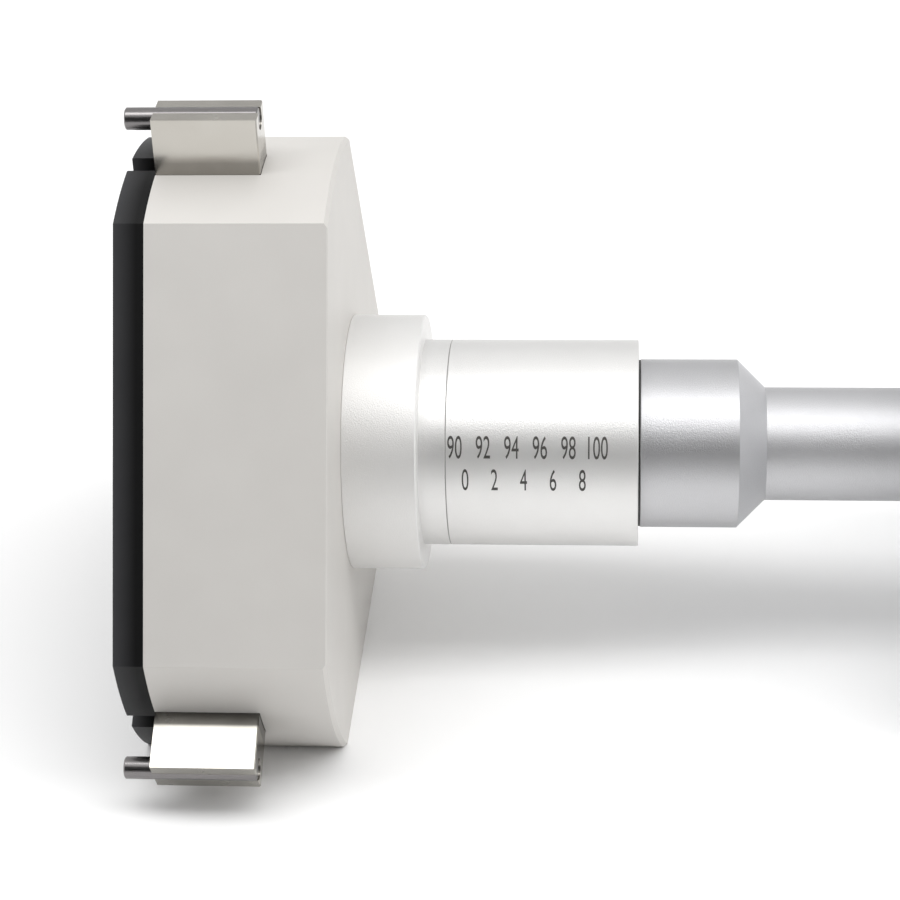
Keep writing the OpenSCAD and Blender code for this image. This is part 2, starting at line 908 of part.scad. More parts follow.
module battery_cover() {
    slot_w = 1.6;
    color([0.16, 0.17, 0.19])
        rotate([display_turn, 0, 0])
            difference() {
                translate([mid_x, battery_y, -housing_rear_z])
                    cylinder(r = cover_r, h = wall);
                translate([mid_x - cover_r * 0.7, battery_y - slot_w / 2,
                    -housing_rear_z - over])
                    cube([cover_r * 1.4, slot_w, wall / 2 + over]);
            }
}

head_body();
front_cap();
cap_screws();
anvil(0);  // anvil_1
anvil(1);  // anvil_2
anvil(2);  // anvil_3
contact_pin(0);  // contact_pin_1
contact_pin(1);  // contact_pin_2
contact_pin(2);  // contact_pin_3
return_spring(0);  // return_spring_1
return_spring(1);  // return_spring_2
return_spring(2);  // return_spring_3
stop_pins();
cone();
cone_screw();
push_rod();
push_ball();
front_bush();
rear_bush();
collar();
collar_screws();
lock_ring();
sleeve();
seal_ring();
rod();
barrel();
nut();
spindle();
encoder_stator();
encoder_rotor();
thimble();
ratchet_disc();
ratchet_spring();
ratchet_knob();
ratchet_screw();
housing_front();
housing_rear();
housing_screws();
display_window();
lcd_panel();
circuit_board();
switches();
button(0);  // button_1
button(1);  // button_2
button(2);  // button_3
battery();
battery_contact();
battery_cover();
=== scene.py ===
# %% [markdown]
# # A three-point inside micrometer, finished in Blender
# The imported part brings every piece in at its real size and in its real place. This script
# never moves those pieces. It gives each of them the finish that it has on the real
# instrument, adds the fine work that is easier to model as a mesh (numbers, knurling, display
# segments), and sets up the floor, the light and the camera.

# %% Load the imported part
import math

import bmesh
import bpy
from mathutils import Matrix, Vector


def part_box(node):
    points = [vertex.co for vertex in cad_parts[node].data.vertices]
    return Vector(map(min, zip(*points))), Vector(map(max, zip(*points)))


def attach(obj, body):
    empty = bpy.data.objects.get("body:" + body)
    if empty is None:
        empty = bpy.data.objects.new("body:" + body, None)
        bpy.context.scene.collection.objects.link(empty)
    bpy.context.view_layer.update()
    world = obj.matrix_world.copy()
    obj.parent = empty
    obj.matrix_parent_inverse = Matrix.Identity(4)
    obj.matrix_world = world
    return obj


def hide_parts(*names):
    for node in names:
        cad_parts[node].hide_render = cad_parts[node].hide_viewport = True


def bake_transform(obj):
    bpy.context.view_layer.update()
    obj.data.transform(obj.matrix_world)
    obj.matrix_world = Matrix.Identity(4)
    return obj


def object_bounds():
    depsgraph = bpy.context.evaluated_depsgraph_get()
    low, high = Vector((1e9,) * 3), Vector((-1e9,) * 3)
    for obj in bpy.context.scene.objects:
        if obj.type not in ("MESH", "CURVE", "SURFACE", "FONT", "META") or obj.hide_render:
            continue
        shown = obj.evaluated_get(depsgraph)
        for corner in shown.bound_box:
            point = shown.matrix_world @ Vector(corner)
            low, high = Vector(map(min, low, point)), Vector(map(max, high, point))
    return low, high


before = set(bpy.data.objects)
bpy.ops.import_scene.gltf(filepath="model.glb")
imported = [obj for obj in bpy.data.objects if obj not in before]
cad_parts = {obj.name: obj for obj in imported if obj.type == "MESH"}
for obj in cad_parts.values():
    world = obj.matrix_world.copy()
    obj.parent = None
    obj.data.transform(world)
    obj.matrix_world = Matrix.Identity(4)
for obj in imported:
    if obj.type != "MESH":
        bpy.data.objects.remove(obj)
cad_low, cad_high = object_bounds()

MM = 0.001
# Points that are closer than this are one point
SAME_POINT = 0.001 * MM
scene = bpy.context.scene
scene.view_settings.view_transform = "Standard"
print("loaded", len(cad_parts), "pieces, size in mm", [round(x / MM, 1) for x in cad_high - cad_low])

# %% [markdown]
# ## Camera
# The photograph looks down on the measuring head from its side, with a long lens. The place,
# the aim, the slight roll and the lens were worked out from the straight edges of the head and
# the outlines of the round pieces, so the camera is given as real sizes and not as pixels.

# %% Camera
CAMERA_PLACE = Vector((61.46, -287.82, 174.98)) * MM
CAMERA_AIM = Vector((36.17, 0, -1.31)) * MM
CAMERA_ROLL = math.radians(-2.28)
CAMERA_LENS = 98.8
SENSOR_WIDTH = 36
CLIP_START = 10 * MM

camera_data = bpy.data.cameras.new("camera")
camera_data.sensor_width = SENSOR_WIDTH
camera_data.lens = CAMERA_LENS
camera_data.clip_start = CLIP_START
camera = bpy.data.objects.new("camera", camera_data)
look = (CAMERA_AIM - CAMERA_PLACE).to_track_quat("-Z", "Y").to_matrix().to_4x4()
camera.matrix_world = Matrix.Translation(CAMERA_PLACE) @ look @ Matrix.Rotation(CAMERA_ROLL, 4, "Z")
scene.collection.objects.link(camera)
scene.camera = camera
print("camera is", round((CAMERA_AIM - CAMERA_PLACE).length, 3), "m from what it looks at")

# %% [markdown]
# ## Small helpers
# Every material below is a handful of nodes, and every new piece is a bmesh until its shape is done.
# Four short functions keep that readable. Two add a node and set its values. One makes a bmesh an
# object, and one also lets that object ride on a body of the part.

# %% Helpers for nodes and pieces
def add_node(tree, kind, values=None, **settings):
    """Adds a node, sets its properties, then sets or links its inputs."""
    node = tree.nodes.new(kind)
    for key, value in settings.items():
        setattr(node, key, value)
    for key, value in (values or {}).items():
        if isinstance(value, bpy.types.NodeSocket):
            tree.links.new(value, node.inputs[key])
        else:
            node.inputs[key].default_value = value
    return node


def math_node(tree, operation, *values):
    """One Math node; each value is a number or an output to link."""
    return add_node(tree, "ShaderNodeMath", dict(enumerate(values)), operation=operation).outputs[0]


def make_piece(name, bm, material):
    """Makes the bmesh an object at the origin with its finish."""
    mesh = bpy.data.meshes.new(name)
    bm.to_mesh(mesh)
    bm.free()
    mesh.materials.append(material)
    piece = bpy.data.objects.new(name, mesh)
    scene.collection.objects.link(piece)
    print("made", name, "with", len(mesh.polygons), "faces")
    return piece


def finish_piece(name, bm, body, material):
    """Makes the bmesh an object that rides on a body of the part."""
    piece = make_piece(name, bm, material)
    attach(piece, body)
    return piece


# %% [markdown]
# ## Floor, strip light and cards
# The instrument lies on a white table in a white room. A long, narrow softbox hangs above it, a
# little to the front: it draws the bright line on round metal and the band of shadow below the
# rod. The rays that show the table, straight or in metal, see it a little brighter, so that it
# goes to white and keeps the shadow. Two cards stand outside the picture, where only metal shows
# them: a dark one behind the camera gives round metal its dark band, and a grey one far behind the
# instrument keeps faces that look that way from glaring.

# %% Rays that show the background
def seen_rays(tree):
    """A mask of the rays that show a surface to the eye: straight, in metal, or through glass."""
    path = add_node(tree, "ShaderNodeLightPath")
    straight = math_node(tree, "MAXIMUM", path.outputs["Is Camera Ray"], path.outputs["Is Glossy Ray"])
    return math_node(tree, "MAXIMUM", straight, path.outputs["Is Transmission Ray"])


# %% Floor
FLOOR_RADIUS = 4.0
FLOOR_FRONT = -0.62
FLOOR_SIDES = 96
FLOOR_COLOUR = (0.9, 0.9, 0.9, 1)
FLOOR_SEEN = (0.99, 0.99, 0.99, 1)

floor_bm = bmesh.new()
bmesh.ops.create_circle(floor_bm, cap_ends=True, segments=FLOOR_SIDES, radius=FLOOR_RADIUS)
# The table ends behind the camera, where the dark card stands, so no shadow lies beyond the card
bmesh.ops.bisect_plane(floor_bm, geom=floor_bm.verts[:] + floor_bm.edges[:] + floor_bm.faces[:],
                       plane_co=(0, FLOOR_FRONT, 0), plane_no=(0, -1, 0), clear_outer=True)
bmesh.ops.translate(floor_bm, verts=floor_bm.verts, vec=(0, 0, cad_low.z))
floor_mesh = bpy.data.meshes.new("floor")
floor_bm.to_mesh(floor_mesh)
floor_bm.free()
floor = bpy.data.objects.new("floor", floor_mesh)
scene.collection.objects.link(floor)

floor_material = bpy.data.materials.new("white_table")
floor_material.use_nodes = True
tree = floor_material.node_tree
tree.nodes.clear()
seen_ray = seen_rays(tree)
bounce = add_node(tree, "ShaderNodeBsdfDiffuse", {"Color": FLOOR_COLOUR})
seen = add_node(tree, "ShaderNodeBsdfDiffuse", {"Color": FLOOR_SEEN})
mixed = add_node(tree, "ShaderNodeMixShader", {0: seen_ray})
tree.links.new(bounce.outputs[0], mixed.inputs[1])
tree.links.new(seen.outputs[0], mixed.inputs[2])
add_node(tree, "ShaderNodeOutputMaterial", {"Surface": mixed.outputs[0]})
floor_mesh.materials.append(floor_material)
print("floor at z", round(cad_low.z / MM, 2), "mm")

# %% Strip softbox
STRIP_HEIGHT = 0.7
STRIP_SIZE = (2.0, 0.24)
STRIP_PLACE = (0.3, -0.15)
STRIP_LEVEL = 3.0
# Watts for each square metre that make a lamp as bright as a level of 1
LEVEL_WATTS = 4

light_data = bpy.data.lights.new("strip", "AREA")
light_data.shape = "RECTANGLE"
light_data.size, light_data.size_y = STRIP_SIZE
light_data.energy = STRIP_LEVEL * STRIP_SIZE[0] * STRIP_SIZE[1] * LEVEL_WATTS
strip = bpy.data.objects.new("strip", light_data)
strip.location = (*STRIP_PLACE, cad_low.z + STRIP_HEIGHT)
strip.visible_camera = False
scene.collection.objects.link(strip)
print("strip", STRIP_SIZE, "m, level", STRIP_LEVEL)

# %% Cards
CARD_X = 0.06
# name: width, height, distance to the front (-) or back (+), grey
CARDS = {"dark_card": (1.8, 0.66, FLOOR_FRONT, 0.06), "grey_card": (3.2, 0.6, 1.1, 0.88)}

for name, (width, height, place, grey) in CARDS.items():
    card_bm = bmesh.new()
    bmesh.ops.create_grid(card_bm, x_segments=1, y_segments=1, size=0.5)
    bmesh.ops.scale(card_bm, verts=card_bm.verts, vec=(width, height, 1))
    bmesh.ops.rotate(card_bm, verts=card_bm.verts, matrix=Matrix.Rotation(math.radians(90), 3, "X"))
    bmesh.ops.translate(card_bm, verts=card_bm.verts, vec=(CARD_X, place, cad_low.z + height / 2))
    card_mesh = bpy.data.meshes.new(name)
    card_bm.to_mesh(card_mesh)
    card_bm.free()
    card_material = bpy.data.materials.new(name)
    card_material.use_nodes = True
    tree = card_material.node_tree
    tree.nodes.clear()
    paper = add_node(tree, "ShaderNodeBsdfDiffuse", {"Color": (grey, grey, grey, 1)})
    add_node(tree, "ShaderNodeOutputMaterial", {"Surface": paper.outputs[0]})
    card_mesh.materials.append(card_material)
    card = bpy.data.objects.new(name, card_mesh)
    card.visible_camera = False
    scene.collection.objects.link(card)
print("cards", list(CARDS))

# %% World
ROOM_LEVEL = 0.85
SEEN_LEVEL = 1.0

world = bpy.data.worlds.new("white_room")
world.use_nodes = True
scene.world = world
tree = world.node_tree
tree.nodes.clear()
level = add_node(tree, "ShaderNodeMapRange",
                 {"Value": seen_rays(tree), "To Min": ROOM_LEVEL, "To Max": SEEN_LEVEL})
sky = add_node(tree, "ShaderNodeBackground", {"Color": (1, 1, 1, 1), "Strength": level.outputs[0]})
add_node(tree, "ShaderNodeOutputWorld", {"Surface": sky.outputs[0]})
print("room light", ROOM_LEVEL)

# %% [markdown]
# ## Shared surface effects
# Machined parts show the tool that made them: a blasted skin has a fine random grain, a turned
# one has closely set rings, a ground one has long scratches. Each effect is one node group, so
# that a change of, say, the grain is made in one place and reaches every finish that uses it.

# %% Group helpers
def new_group(name, inputs, outputs):
    """An empty group of float sockets; returns the tree, its input node and its output node."""
    group = bpy.data.node_groups.new(name, "ShaderNodeTree")
    for label, value in inputs.items():
        socket = group.interface.new_socket(label, in_out="INPUT", socket_type="NodeSocketFloat")
        socket.default_value = value
    for label in outputs:
        group.interface.new_socket(label, in_out="OUTPUT", socket_type="NodeSocketFloat")
    return group, group.nodes.new("NodeGroupInput"), group.nodes.new("NodeGroupOutput")


def piece_place(tree):
    """The place of a point of the surface, in metres."""
    return add_node(tree, "ShaderNodeTexCoord").outputs["Object"]


def axis_place(tree):
    """How far a point lies along the axis of the instrument, which is X, and how far from it."""
    parts = add_node(tree, "ShaderNodeSeparateXYZ", {0: piece_place(tree)})
    across = add_node(tree, "ShaderNodeCombineXYZ", {"Y": parts.outputs["Y"], "Z": parts.outputs["Z"]})
    radius = add_node(tree, "ShaderNodeVectorMath", {0: across.outputs[0]}, operation="LENGTH")
    return parts.outputs["X"], radius.outputs["Value"]


# %% Blasted grain
# Noise of two sizes: the grain that the blasting left, and wide patches in which the tone wanders.
GRAIN_SHARPNESS = 0.7

blasted_group, blasted_in, blasted_out = new_group(
    "blasted_grain", {"Grain mm": 0.12, "Patch mm": 9}, ["Grain", "Patch"])
place = piece_place(blasted_group)
for target, detail in (("Grain", 3), ("Patch", 2)):
    scale = math_node(blasted_group, "DIVIDE", 1 / MM, blasted_in.outputs[f"{target} mm"])
    noise = add_node(blasted_group, "ShaderNodeTexNoise",
                     {"Vector": place, "Scale": scale, "Detail": detail, "Roughness": GRAIN_SHARPNESS})
    blasted_group.links.new(noise.outputs["Fac"], blasted_out.inputs[target])
print("group", blasted_group.name)

# %% Turned rings
# Distance along the axis and distance from it are added with unequal weights, so that rings also
# show on end faces and on cones.
RADIUS_WEIGHT = 0.73

turned_group, turned_in, turned_out = new_group("turned_rings", {"Pitch mm": 0.12}, ["Rings"])
along, away = axis_place(turned_group)
track = math_node(turned_group, "MULTIPLY_ADD", away, RADIUS_WEIGHT, along)
scale = math_node(turned_group, "DIVIDE", 1 / MM, turned_in.outputs["Pitch mm"])
noise = add_node(turned_group, "ShaderNodeTexNoise", {"W": track, "Scale": scale, "Detail": 2},
                 noise_dimensions="1D")
turned_group.links.new(noise.outputs["Fac"], turned_out.inputs["Rings"])
print("group", turned_group.name)

# %% Ground scratches
# Grinding leaves long fine lines along the axis: noise that is stretched along X.
LINE_STRETCH = (0.02, 1, 1)

ground_group, ground_in, ground_out = new_group(
    "ground_lines", {"Line mm": 0.05, "Smudge mm": 6}, ["Lines", "Smudge"])
place = piece_place(ground_group)
stretched = add_node(ground_group, "ShaderNodeMapping", {"Vector": place, "Scale": LINE_STRETCH}).outputs[0]
for source, target, vector in (("Line mm", "Lines", stretched), ("Smudge mm", "Smudge", place)):
    scale = math_node(ground_group, "DIVIDE", 1 / MM, ground_in.outputs[source])
    noise = add_node(ground_group, "ShaderNodeTexNoise", {"Vector": vector, "Scale": scale, "Detail": 3})
    ground_group.links.new(noise.outputs["Fac"], ground_out.inputs[target])
print("group", ground_group.name)

# %% Bands
# A mask for one stretch of a piece, counted along the axis or outwards from it: a painted sheen by an
# edge, a seam, the painted shade on the foot of a slide.
band_group, band_in, band_out = new_group(
    "axis_bands", {"From mm": 0, "To mm": 1, "Soft mm": 1}, ["Along", "Radial"])
for target, source in zip(("Along", "Radial"), axis_place(band_group)):
    length = math_node(band_group, "DIVIDE", source, MM)
    above = math_node(band_group, "SUBTRACT", length, band_in.outputs["From mm"])
    below = math_node(band_group, "SUBTRACT", band_in.outputs["To mm"], length)
    inside = math_node(band_group, "MINIMUM", above, below)
    mask = add_node(band_group, "ShaderNodeMath", {0: inside, 1: band_in.outputs["Soft mm"]},
                    operation="DIVIDE", use_clamp=True)
    band_group.links.new(mask.outputs[0], band_out.inputs[target])
print("group", band_group.name)

# %% [markdown]
# ## Finishes
# A finish is a Principled shader whose colour, roughness and bump vary a little with the groups
# above. The function takes a skin, the two colours between which the skin wanders, the two values of
# roughness, the metal's share and the height of the bump in millimetres. Each band multiplies the
# colour and adds to the roughness along one stretch of the piece.

# %% Skins and bands
def blasted(grain_mm, patch_mm):
    """A skin: a group, its values, the output for the colour and the output for the fine grain."""
    return blasted_group, {"Grain mm": grain_mm, "Patch mm": patch_mm}, "Patch", "Grain"


def turned(pitch_mm):
    """A skin with rings round the axis."""
    return turned_group, {"Pitch mm": pitch_mm}, "Rings", "Rings"


def ground(line_mm, smudge_mm, shown):
    """A skin that shows its ground lines or the smudges on them."""
    return ground_group, {"Line mm": line_mm, "Smudge mm": smudge_mm}, shown, shown


def band(side, low, high, soft, factor, rougher=0.0):
    """A stretch from low to high in mm, with its factor on the colour and the roughness it adds."""
    return side, {"From mm": low, "To mm": high, "Soft mm": soft}, factor, rougher


# %% Finish helper
# Noise is near its middle almost everywhere, so this part of it is spread over the whole roughness
NOISE_LOW, NOISE_HIGH = 0.3, 0.7


def use_group(tree, group, values):
    """Places a group in a material with its own values, and returns its outputs."""
    return add_node(tree, "ShaderNodeGroup", values, node_tree=group).outputs


def finish(name, skin, colours, roughness, metallic=0.0, bump_mm=0.0, bands=()):
    """A material with a skin, its colours, roughness, metal, bump and bands."""
    material = bpy.data.materials.new(name)
    material.use_nodes = True
    tree = material.node_tree
    shader = tree.nodes["Principled BSDF"]
    shader.inputs["Metallic"].default_value = metallic
    group, values, tone, fine = skin
    outputs = use_group(tree, group, values)
    # A Mix node has sockets of one name for each data type, so the colour ones are set by place
    colour = add_node(tree, "ShaderNodeMix", {0: outputs[tone], 6: (*colours[0], 1), 7: (*colours[1], 1)},
                      data_type="RGBA").outputs[2]
    rough = add_node(tree, "ShaderNodeMapRange",
                     {"Value": outputs[fine], "From Min": NOISE_LOW, "From Max": NOISE_HIGH,
                      "To Min": roughness[0], "To Max": roughness[1]}).outputs[0]
    for side, stretch, factor, rougher in bands:
        mask = use_group(tree, band_group, stretch)[side]
        colour = add_node(tree, "ShaderNodeMix", {0: mask, 6: colour, 7: (factor, factor, factor, 1)},
                          data_type="RGBA", blend_type="MULTIPLY").outputs[2]
        rough = math_node(tree, "MULTIPLY_ADD", mask, rougher, rough)
    tree.links.new(colour, shader.inputs["Base Color"])
    tree.links.new(rough, shader.inputs["Roughness"])
    if bump_mm:
        bump = add_node(tree, "ShaderNodeBump",
                        {"Height": outputs[fine], "Distance": bump_mm * MM, "Strength": 1.0})
        tree.links.new(bump.outputs[0], shader.inputs["Normal"])
    print("finish", name)
    return material


finishes = {}

# %% [markdown]
# ### Metals
# The head is blasted aluminium, pale and quite matt. The sleeve is satin chrome: smooth enough
# for a soft highlight, with a sparkle of grain where the light falls off. The rod is a darker
# satin. The anvils are ground steel, almost mirrors, and the pins are hard metal. A picture could
# carry such marks, but noise that is counted in millimetres stays sharp from near and keeps its size
# on every piece.

# %% Head and cap
FAR_OUT = 999
# The painted sheen on the cap: the share of its length that it covers, and how much lighter it paints
PAINTED_SHEEN_SHARE = 0.75
PAINTED_SHEEN_FACTOR = 14
CAP_SPECULAR = 0.17

finishes["head_alu"] = finish(
    "head_alu", blasted(0.14, 14), ((0.63, 0.612, 0.586), (0.69, 0.672, 0.644)), (0.5, 0.62), 0.35, 0.006)
# The black skin of the cap is painted lighter towards its front edge: a painted sheen
cap_low, cap_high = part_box("front_cap")
painted_sheen_mm = PAINTED_SHEEN_SHARE * (cap_high.x - cap_low.x) / MM
finishes["cap_black"] = finish(
    "cap_black", blasted(0.1, 8), ((0.0025, 0.0025, 0.0027), (0.0035, 0.0035, 0.0037)), (0.42, 0.55),
    0.0, 0.005, [band("Along", -FAR_OUT, cap_low.x / MM + painted_sheen_mm, painted_sheen_mm, PAINTED_SHEEN_FACTOR)])
cap_shader = finishes["cap_black"].node_tree.nodes["Principled BSDF"]
cap_shader.inputs["Specular IOR Level"].default_value = CAP_SPECULAR

# %% Sleeve and collar
SATIN = blasted(0.17, 10)
SEAM_MM = 0.06
SEAM_FACTOR = 0.5

seam_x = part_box("lock_ring")[1].x / MM
finishes["sleeve_satin"] = finish(
    "sleeve_satin", SATIN, ((0.76, 0.755, 0.745), (0.82, 0.815, 0.805)), (0.38, 0.52), 0.9, 0.042,
    [band("Along", seam_x - SEAM_MM, seam_x + SEAM_MM, SEAM_MM / 2, SEAM_FACTOR)])
finishes["collar"] = finish(
    "collar_satin", SATIN, ((0.79, 0.785, 0.775), (0.85, 0.845, 0.835)), (0.48, 0.62), 0.8, 0.042)

# %% Rod
# The cone between shoulder and rod was blasted more heavily than the rest of the piece. Where it
# starts and ends is found from the radius at the points of the solid.
SAME_RADIUS_MM = 0.1
ROD_END_MM = 1
CONE_EDGE_MM = 0.05

rod_skin = [(v.co.x / MM, math.hypot(v.co.y, v.co.z) / MM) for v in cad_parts["rod"].data.vertices]
shoulder_r = max(r for x, r in rod_skin)
rod_end = max(x for x, r in rod_skin)
rod_r = max(r for x, r in rod_skin if x > rod_end - ROD_END_MM)
cone_from = max(x for x, r in rod_skin if r > shoulder_r - SAME_RADIUS_MM)
cone_to = min(x for x, r in rod_skin if x > cone_from and abs(r - rod_r) < SAME_RADIUS_MM)
print("cone from", round(cone_from, 2), "to", round(cone_to, 2), "mm")
finishes["rod_steel"] = finish(
    "rod_steel", SATIN, ((0.52, 0.52, 0.532), (0.575, 0.575, 0.587)), (0.33, 0.47), 1.0, 0.055,
    [band("Along", cone_from, cone_to, CONE_EDGE_MM, 1.2, 0.12),
     band("Along", cone_to, FAR_OUT, CONE_EDGE_MM, 1.03, 0.08)])

# %% Anvils and pins
# Both anvils are painted darker at the foot, where they slide in the head, and at the tip, which is also
# a little rougher. This is painted shade: it stands in for the shaded surroundings that the ground faces
# mirror. The lowest anvil on the reader's side mirrors the shadowed underside of the head and the shaded
# floor, and is painted darkest.
# How far in from the tip the painted shade of the tip begins, and how softly
TIP_SHADE_DEPTH_MM = 0.03
TIP_SHADE_EDGE_MM = 0.02

head_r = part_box("head_body")[1].z / MM
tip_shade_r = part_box("anvil_1")[1].z / MM - TIP_SHADE_DEPTH_MM
print("tips are painted darker from a radius of", round(tip_shade_r, 2), "mm")


def anvil_finish(name, colours, foot_shade_mm, edge_mm, foot_shade, tip_shade):
    """Ground steel with painted shade at its foot and at its tip; the last two values are factors on its
    colour there.
    """
    return finish(
        name, ground(0.05, 5, "Smudge"), colours, (0.13, 0.24), 1.0, 0.0,
        [band("Radial", 0, head_r + foot_shade_mm, edge_mm, foot_shade, 0.05),
         band("Radial", tip_shade_r, FAR_OUT, TIP_SHADE_EDGE_MM, tip_shade, 0.06)])


finishes["anvil_steel"] = anvil_finish(
    "anvil_steel", ((0.43, 0.407, 0.367), (0.56, 0.54, 0.50)), 2.4, 0.8, 0.67, 0.8)
finishes["anvil_2"] = anvil_finish(
    "anvil_painted_shade", ((0.40, 0.38, 0.342), (0.52, 0.50, 0.46)), 1.9, 0.35, 0.26, 0.74)
finishes["carbide"] = finish(
    "carbide", ground(0.08, 4, "Lines"), ((0.18, 0.172, 0.172), (0.24, 0.23, 0.23)),
    (0.2, 0.3), 1.0, 0.0006)

# %% Inner metals
# name: skin, colours, roughness, metal, bump
INNER_METALS = {
    "inner_steel": (turned(0.1), ((0.52, 0.52, 0.525), (0.62, 0.62, 0.625)), (0.18, 0.32), 1.0, 0.002),
    "bronze": (turned(0.12), ((0.55, 0.38, 0.17), (0.66, 0.47, 0.23)), (0.22, 0.36), 1.0, 0.002),
    "screw_black": (blasted(0.08, 2), ((0.035, 0.035, 0.038), (0.06, 0.06, 0.064)),
                    (0.32, 0.46), 0.8, 0.002),
}
for name, look in INNER_METALS.items():
    finishes[name] = finish(name, *look)

# %% [markdown]
# ### Plastics, rubber, boards and the display
# The handle's housing is moulded with a fine texture in the tool, the keys are smoother, and the
# seal is plain black rubber. The display is a grey-green reflective panel behind a clear window.
# Moulds are blasted too, so these finishes use the groups of the metals, with sizes of their own, and
# most of them show the blasted grain.

# %% Plastics, rubber and boards
# name: skin, colours, roughness, metal, bump
PLASTICS = {
    "seal_rubber": (blasted(0.1, 3), ((0.010, 0.010, 0.010), (0.022, 0.022, 0.022)),
                    (0.6, 0.8), 0.0, 0.004),
    "housing_plastic": (blasted(0.35, 12), ((0.46, 0.47, 0.48), (0.52, 0.53, 0.54)),
                        (0.42, 0.6), 0.0, 0.03),
    "button_plastic": (blasted(0.2, 5), ((0.27, 0.28, 0.30), (0.33, 0.34, 0.36)), (0.38, 0.5), 0.0, 0.008),
    "switch_plastic": (blasted(0.15, 3), ((0.02, 0.02, 0.02), (0.035, 0.035, 0.035)),
                       (0.45, 0.6), 0.0, 0.004),
    "lcd": (blasted(0.3, 16), ((0.40, 0.44, 0.36), (0.46, 0.50, 0.41)), (0.25, 0.32)),
    "board_green": (blasted(0.25, 4), ((0.015, 0.10, 0.045), (0.03, 0.17, 0.075)), (0.3, 0.42), 0.0, 0.006),
    "rotor_board": (turned(0.6), ((0.30, 0.19, 0.07), (0.40, 0.26, 0.10)), (0.32, 0.44), 0.0, 0.004),
}
for name, look in PLASTICS.items():
    finishes[name] = finish(name, *look)

# %% Clear window
WINDOW_TINT = (0.95, 0.97, 0.97, 1)
WINDOW_IOR = 1.49
SMEAR_FROM, SMEAR_TO = 0.35, 0.7
SMEAR_ROUGHNESS = 0.06

window_material = bpy.data.materials.new("window_clear")
window_material.use_nodes = True
tree = window_material.node_tree
shader = tree.nodes["Principled BSDF"]
shader.inputs["Base Color"].default_value = WINDOW_TINT
shader.inputs["Transmission Weight"].default_value = 1.0
shader.inputs["IOR"].default_value = WINDOW_IOR
smear = use_group(tree, blasted_group, {"Grain mm": 0.3, "Patch mm": 9})["Patch"]
rough = add_node(tree, "ShaderNodeMapRange", {"Value": smear, "From Min": SMEAR_FROM, "From Max": SMEAR_TO,
                                              "To Min": 0.0, "To Max": SMEAR_ROUGHNESS})
tree.links.new(rough.outputs[0], shader.inputs["Roughness"])
finishes["window_clear"] = window_material
print("finish window_clear")

# %% Give every piece of the part its finish
for node_name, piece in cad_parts.items():
    slot_name = piece.data.materials[0].name
    piece.data.materials[0] = finishes.get(node_name, finishes[slot_name])
print("finished", len(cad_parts), "pieces in", len(finishes), "finishes")

# %% [markdown]
# ## Numbers on the sleeve
# Two rows of fine numbers are marked on the sleeve, filled with dark paint. They could be painted in
# the material, but as a mesh their edges stay sharp at any distance. The text is made a mesh while it
# is still flat. Cuts across it let it bend, and then each point is wrapped round the sleeve's axis
# so that the paint stands a hundredth of a millimetre proud.

# %% Text and the way it bends
def flat_text(text, height, depth):
    """A closed mesh of the text in the XY plane, centred on the origin, as a bmesh."""
    curve = bpy.data.curves.new("text", "FONT")
    curve.body = text
    curve.extrude = depth / 2
    curve.align_x = "CENTER"
    holder = bpy.data.objects.new("text", curve)
    scene.collection.objects.link(holder)
    bpy.context.view_layer.update()
    mesh = bpy.data.meshes.new_from_object(holder.evaluated_get(bpy.context.evaluated_depsgraph_get()))
    bpy.data.objects.remove(holder)
    bpy.data.curves.remove(curve)
    bm = bmesh.new()
    bm.from_mesh(mesh)
    bpy.data.meshes.remove(mesh)
    bmesh.ops.remove_doubles(bm, verts=bm.verts, dist=SAME_POINT)
    low = min(v.co.y for v in bm.verts)
    high = max(v.co.y for v in bm.verts)
    size = height / (high - low)
    bmesh.ops.translate(bm, verts=bm.verts, vec=(0, -(low + high) / 2, 0))
    bmesh.ops.scale(bm, verts=bm.verts, vec=(size, size, 1))
    return bm


def wrap_on_sleeve(bm, centre_x, elevation, radius):
    """Bends a flat bmesh round the X axis; elevation is counted from the front, -Y, upwards."""
    for v in bm.verts:
        angle = elevation + v.co.y / radius
        out = radius + v.co.z
        v.co = (centre_x + v.co.x, -out * math.cos(angle), out * math.sin(angle))


# %% Numbers on the sleeve
NUMBER_HEIGHT = 3.0 * MM
NUMBER_NARROW = 0.475
NUMBER_CUTS = 7
PAINT_DEPTH = 0.03 * MM
PAINT_PROUD = 0.012 * MM
# The text, its elevation in degrees, and its middle along the axis in mm
NUMBER_ROWS = (("90   92   94   96   98  100", 28.4, 47.4), ("0     2     4     6     8", 10.4, 46.9))

paint = finish("mark_paint", blasted(0.08, 0.5), ((0.035, 0.033, 0.03), (0.075, 0.07, 0.065)), (0.5, 0.65))
sleeve_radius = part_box("sleeve")[1].z
for row, (text, elevation, centre) in enumerate(NUMBER_ROWS, 1):
    bm = flat_text(text, NUMBER_HEIGHT, PAINT_DEPTH)
    bmesh.ops.scale(bm, verts=bm.verts, vec=(NUMBER_NARROW, 1, 1))
    bmesh.ops.translate(bm, verts=bm.verts, vec=(0, 0, PAINT_PROUD - PAINT_DEPTH / 2))
    for cut in range(NUMBER_CUTS):
        cut_y = (cut - NUMBER_CUTS // 2) * NUMBER_HEIGHT / NUMBER_CUTS
        bmesh.ops.bisect_plane(bm, geom=bm.verts[:] + bm.edges[:] + bm.faces[:], dist=SAME_POINT,
                               plane_co=(0, cut_y, 0), plane_no=(0, 1, 0))
    wrap_on_sleeve(bm, centre * MM, math.radians(elevation), sleeve_radius)
    finish_piece(f"sleeve_numbers_{row}", bm, "frame", paint)

# %% [markdown]
# ## Display and keys
# The display faces the reader, so its face is turned about the axis. Each of its pieces is modelled
# lying flat, with Z out of the display, because flat shapes are easy to measure and to extrude. It is
# turned into place as the last step.

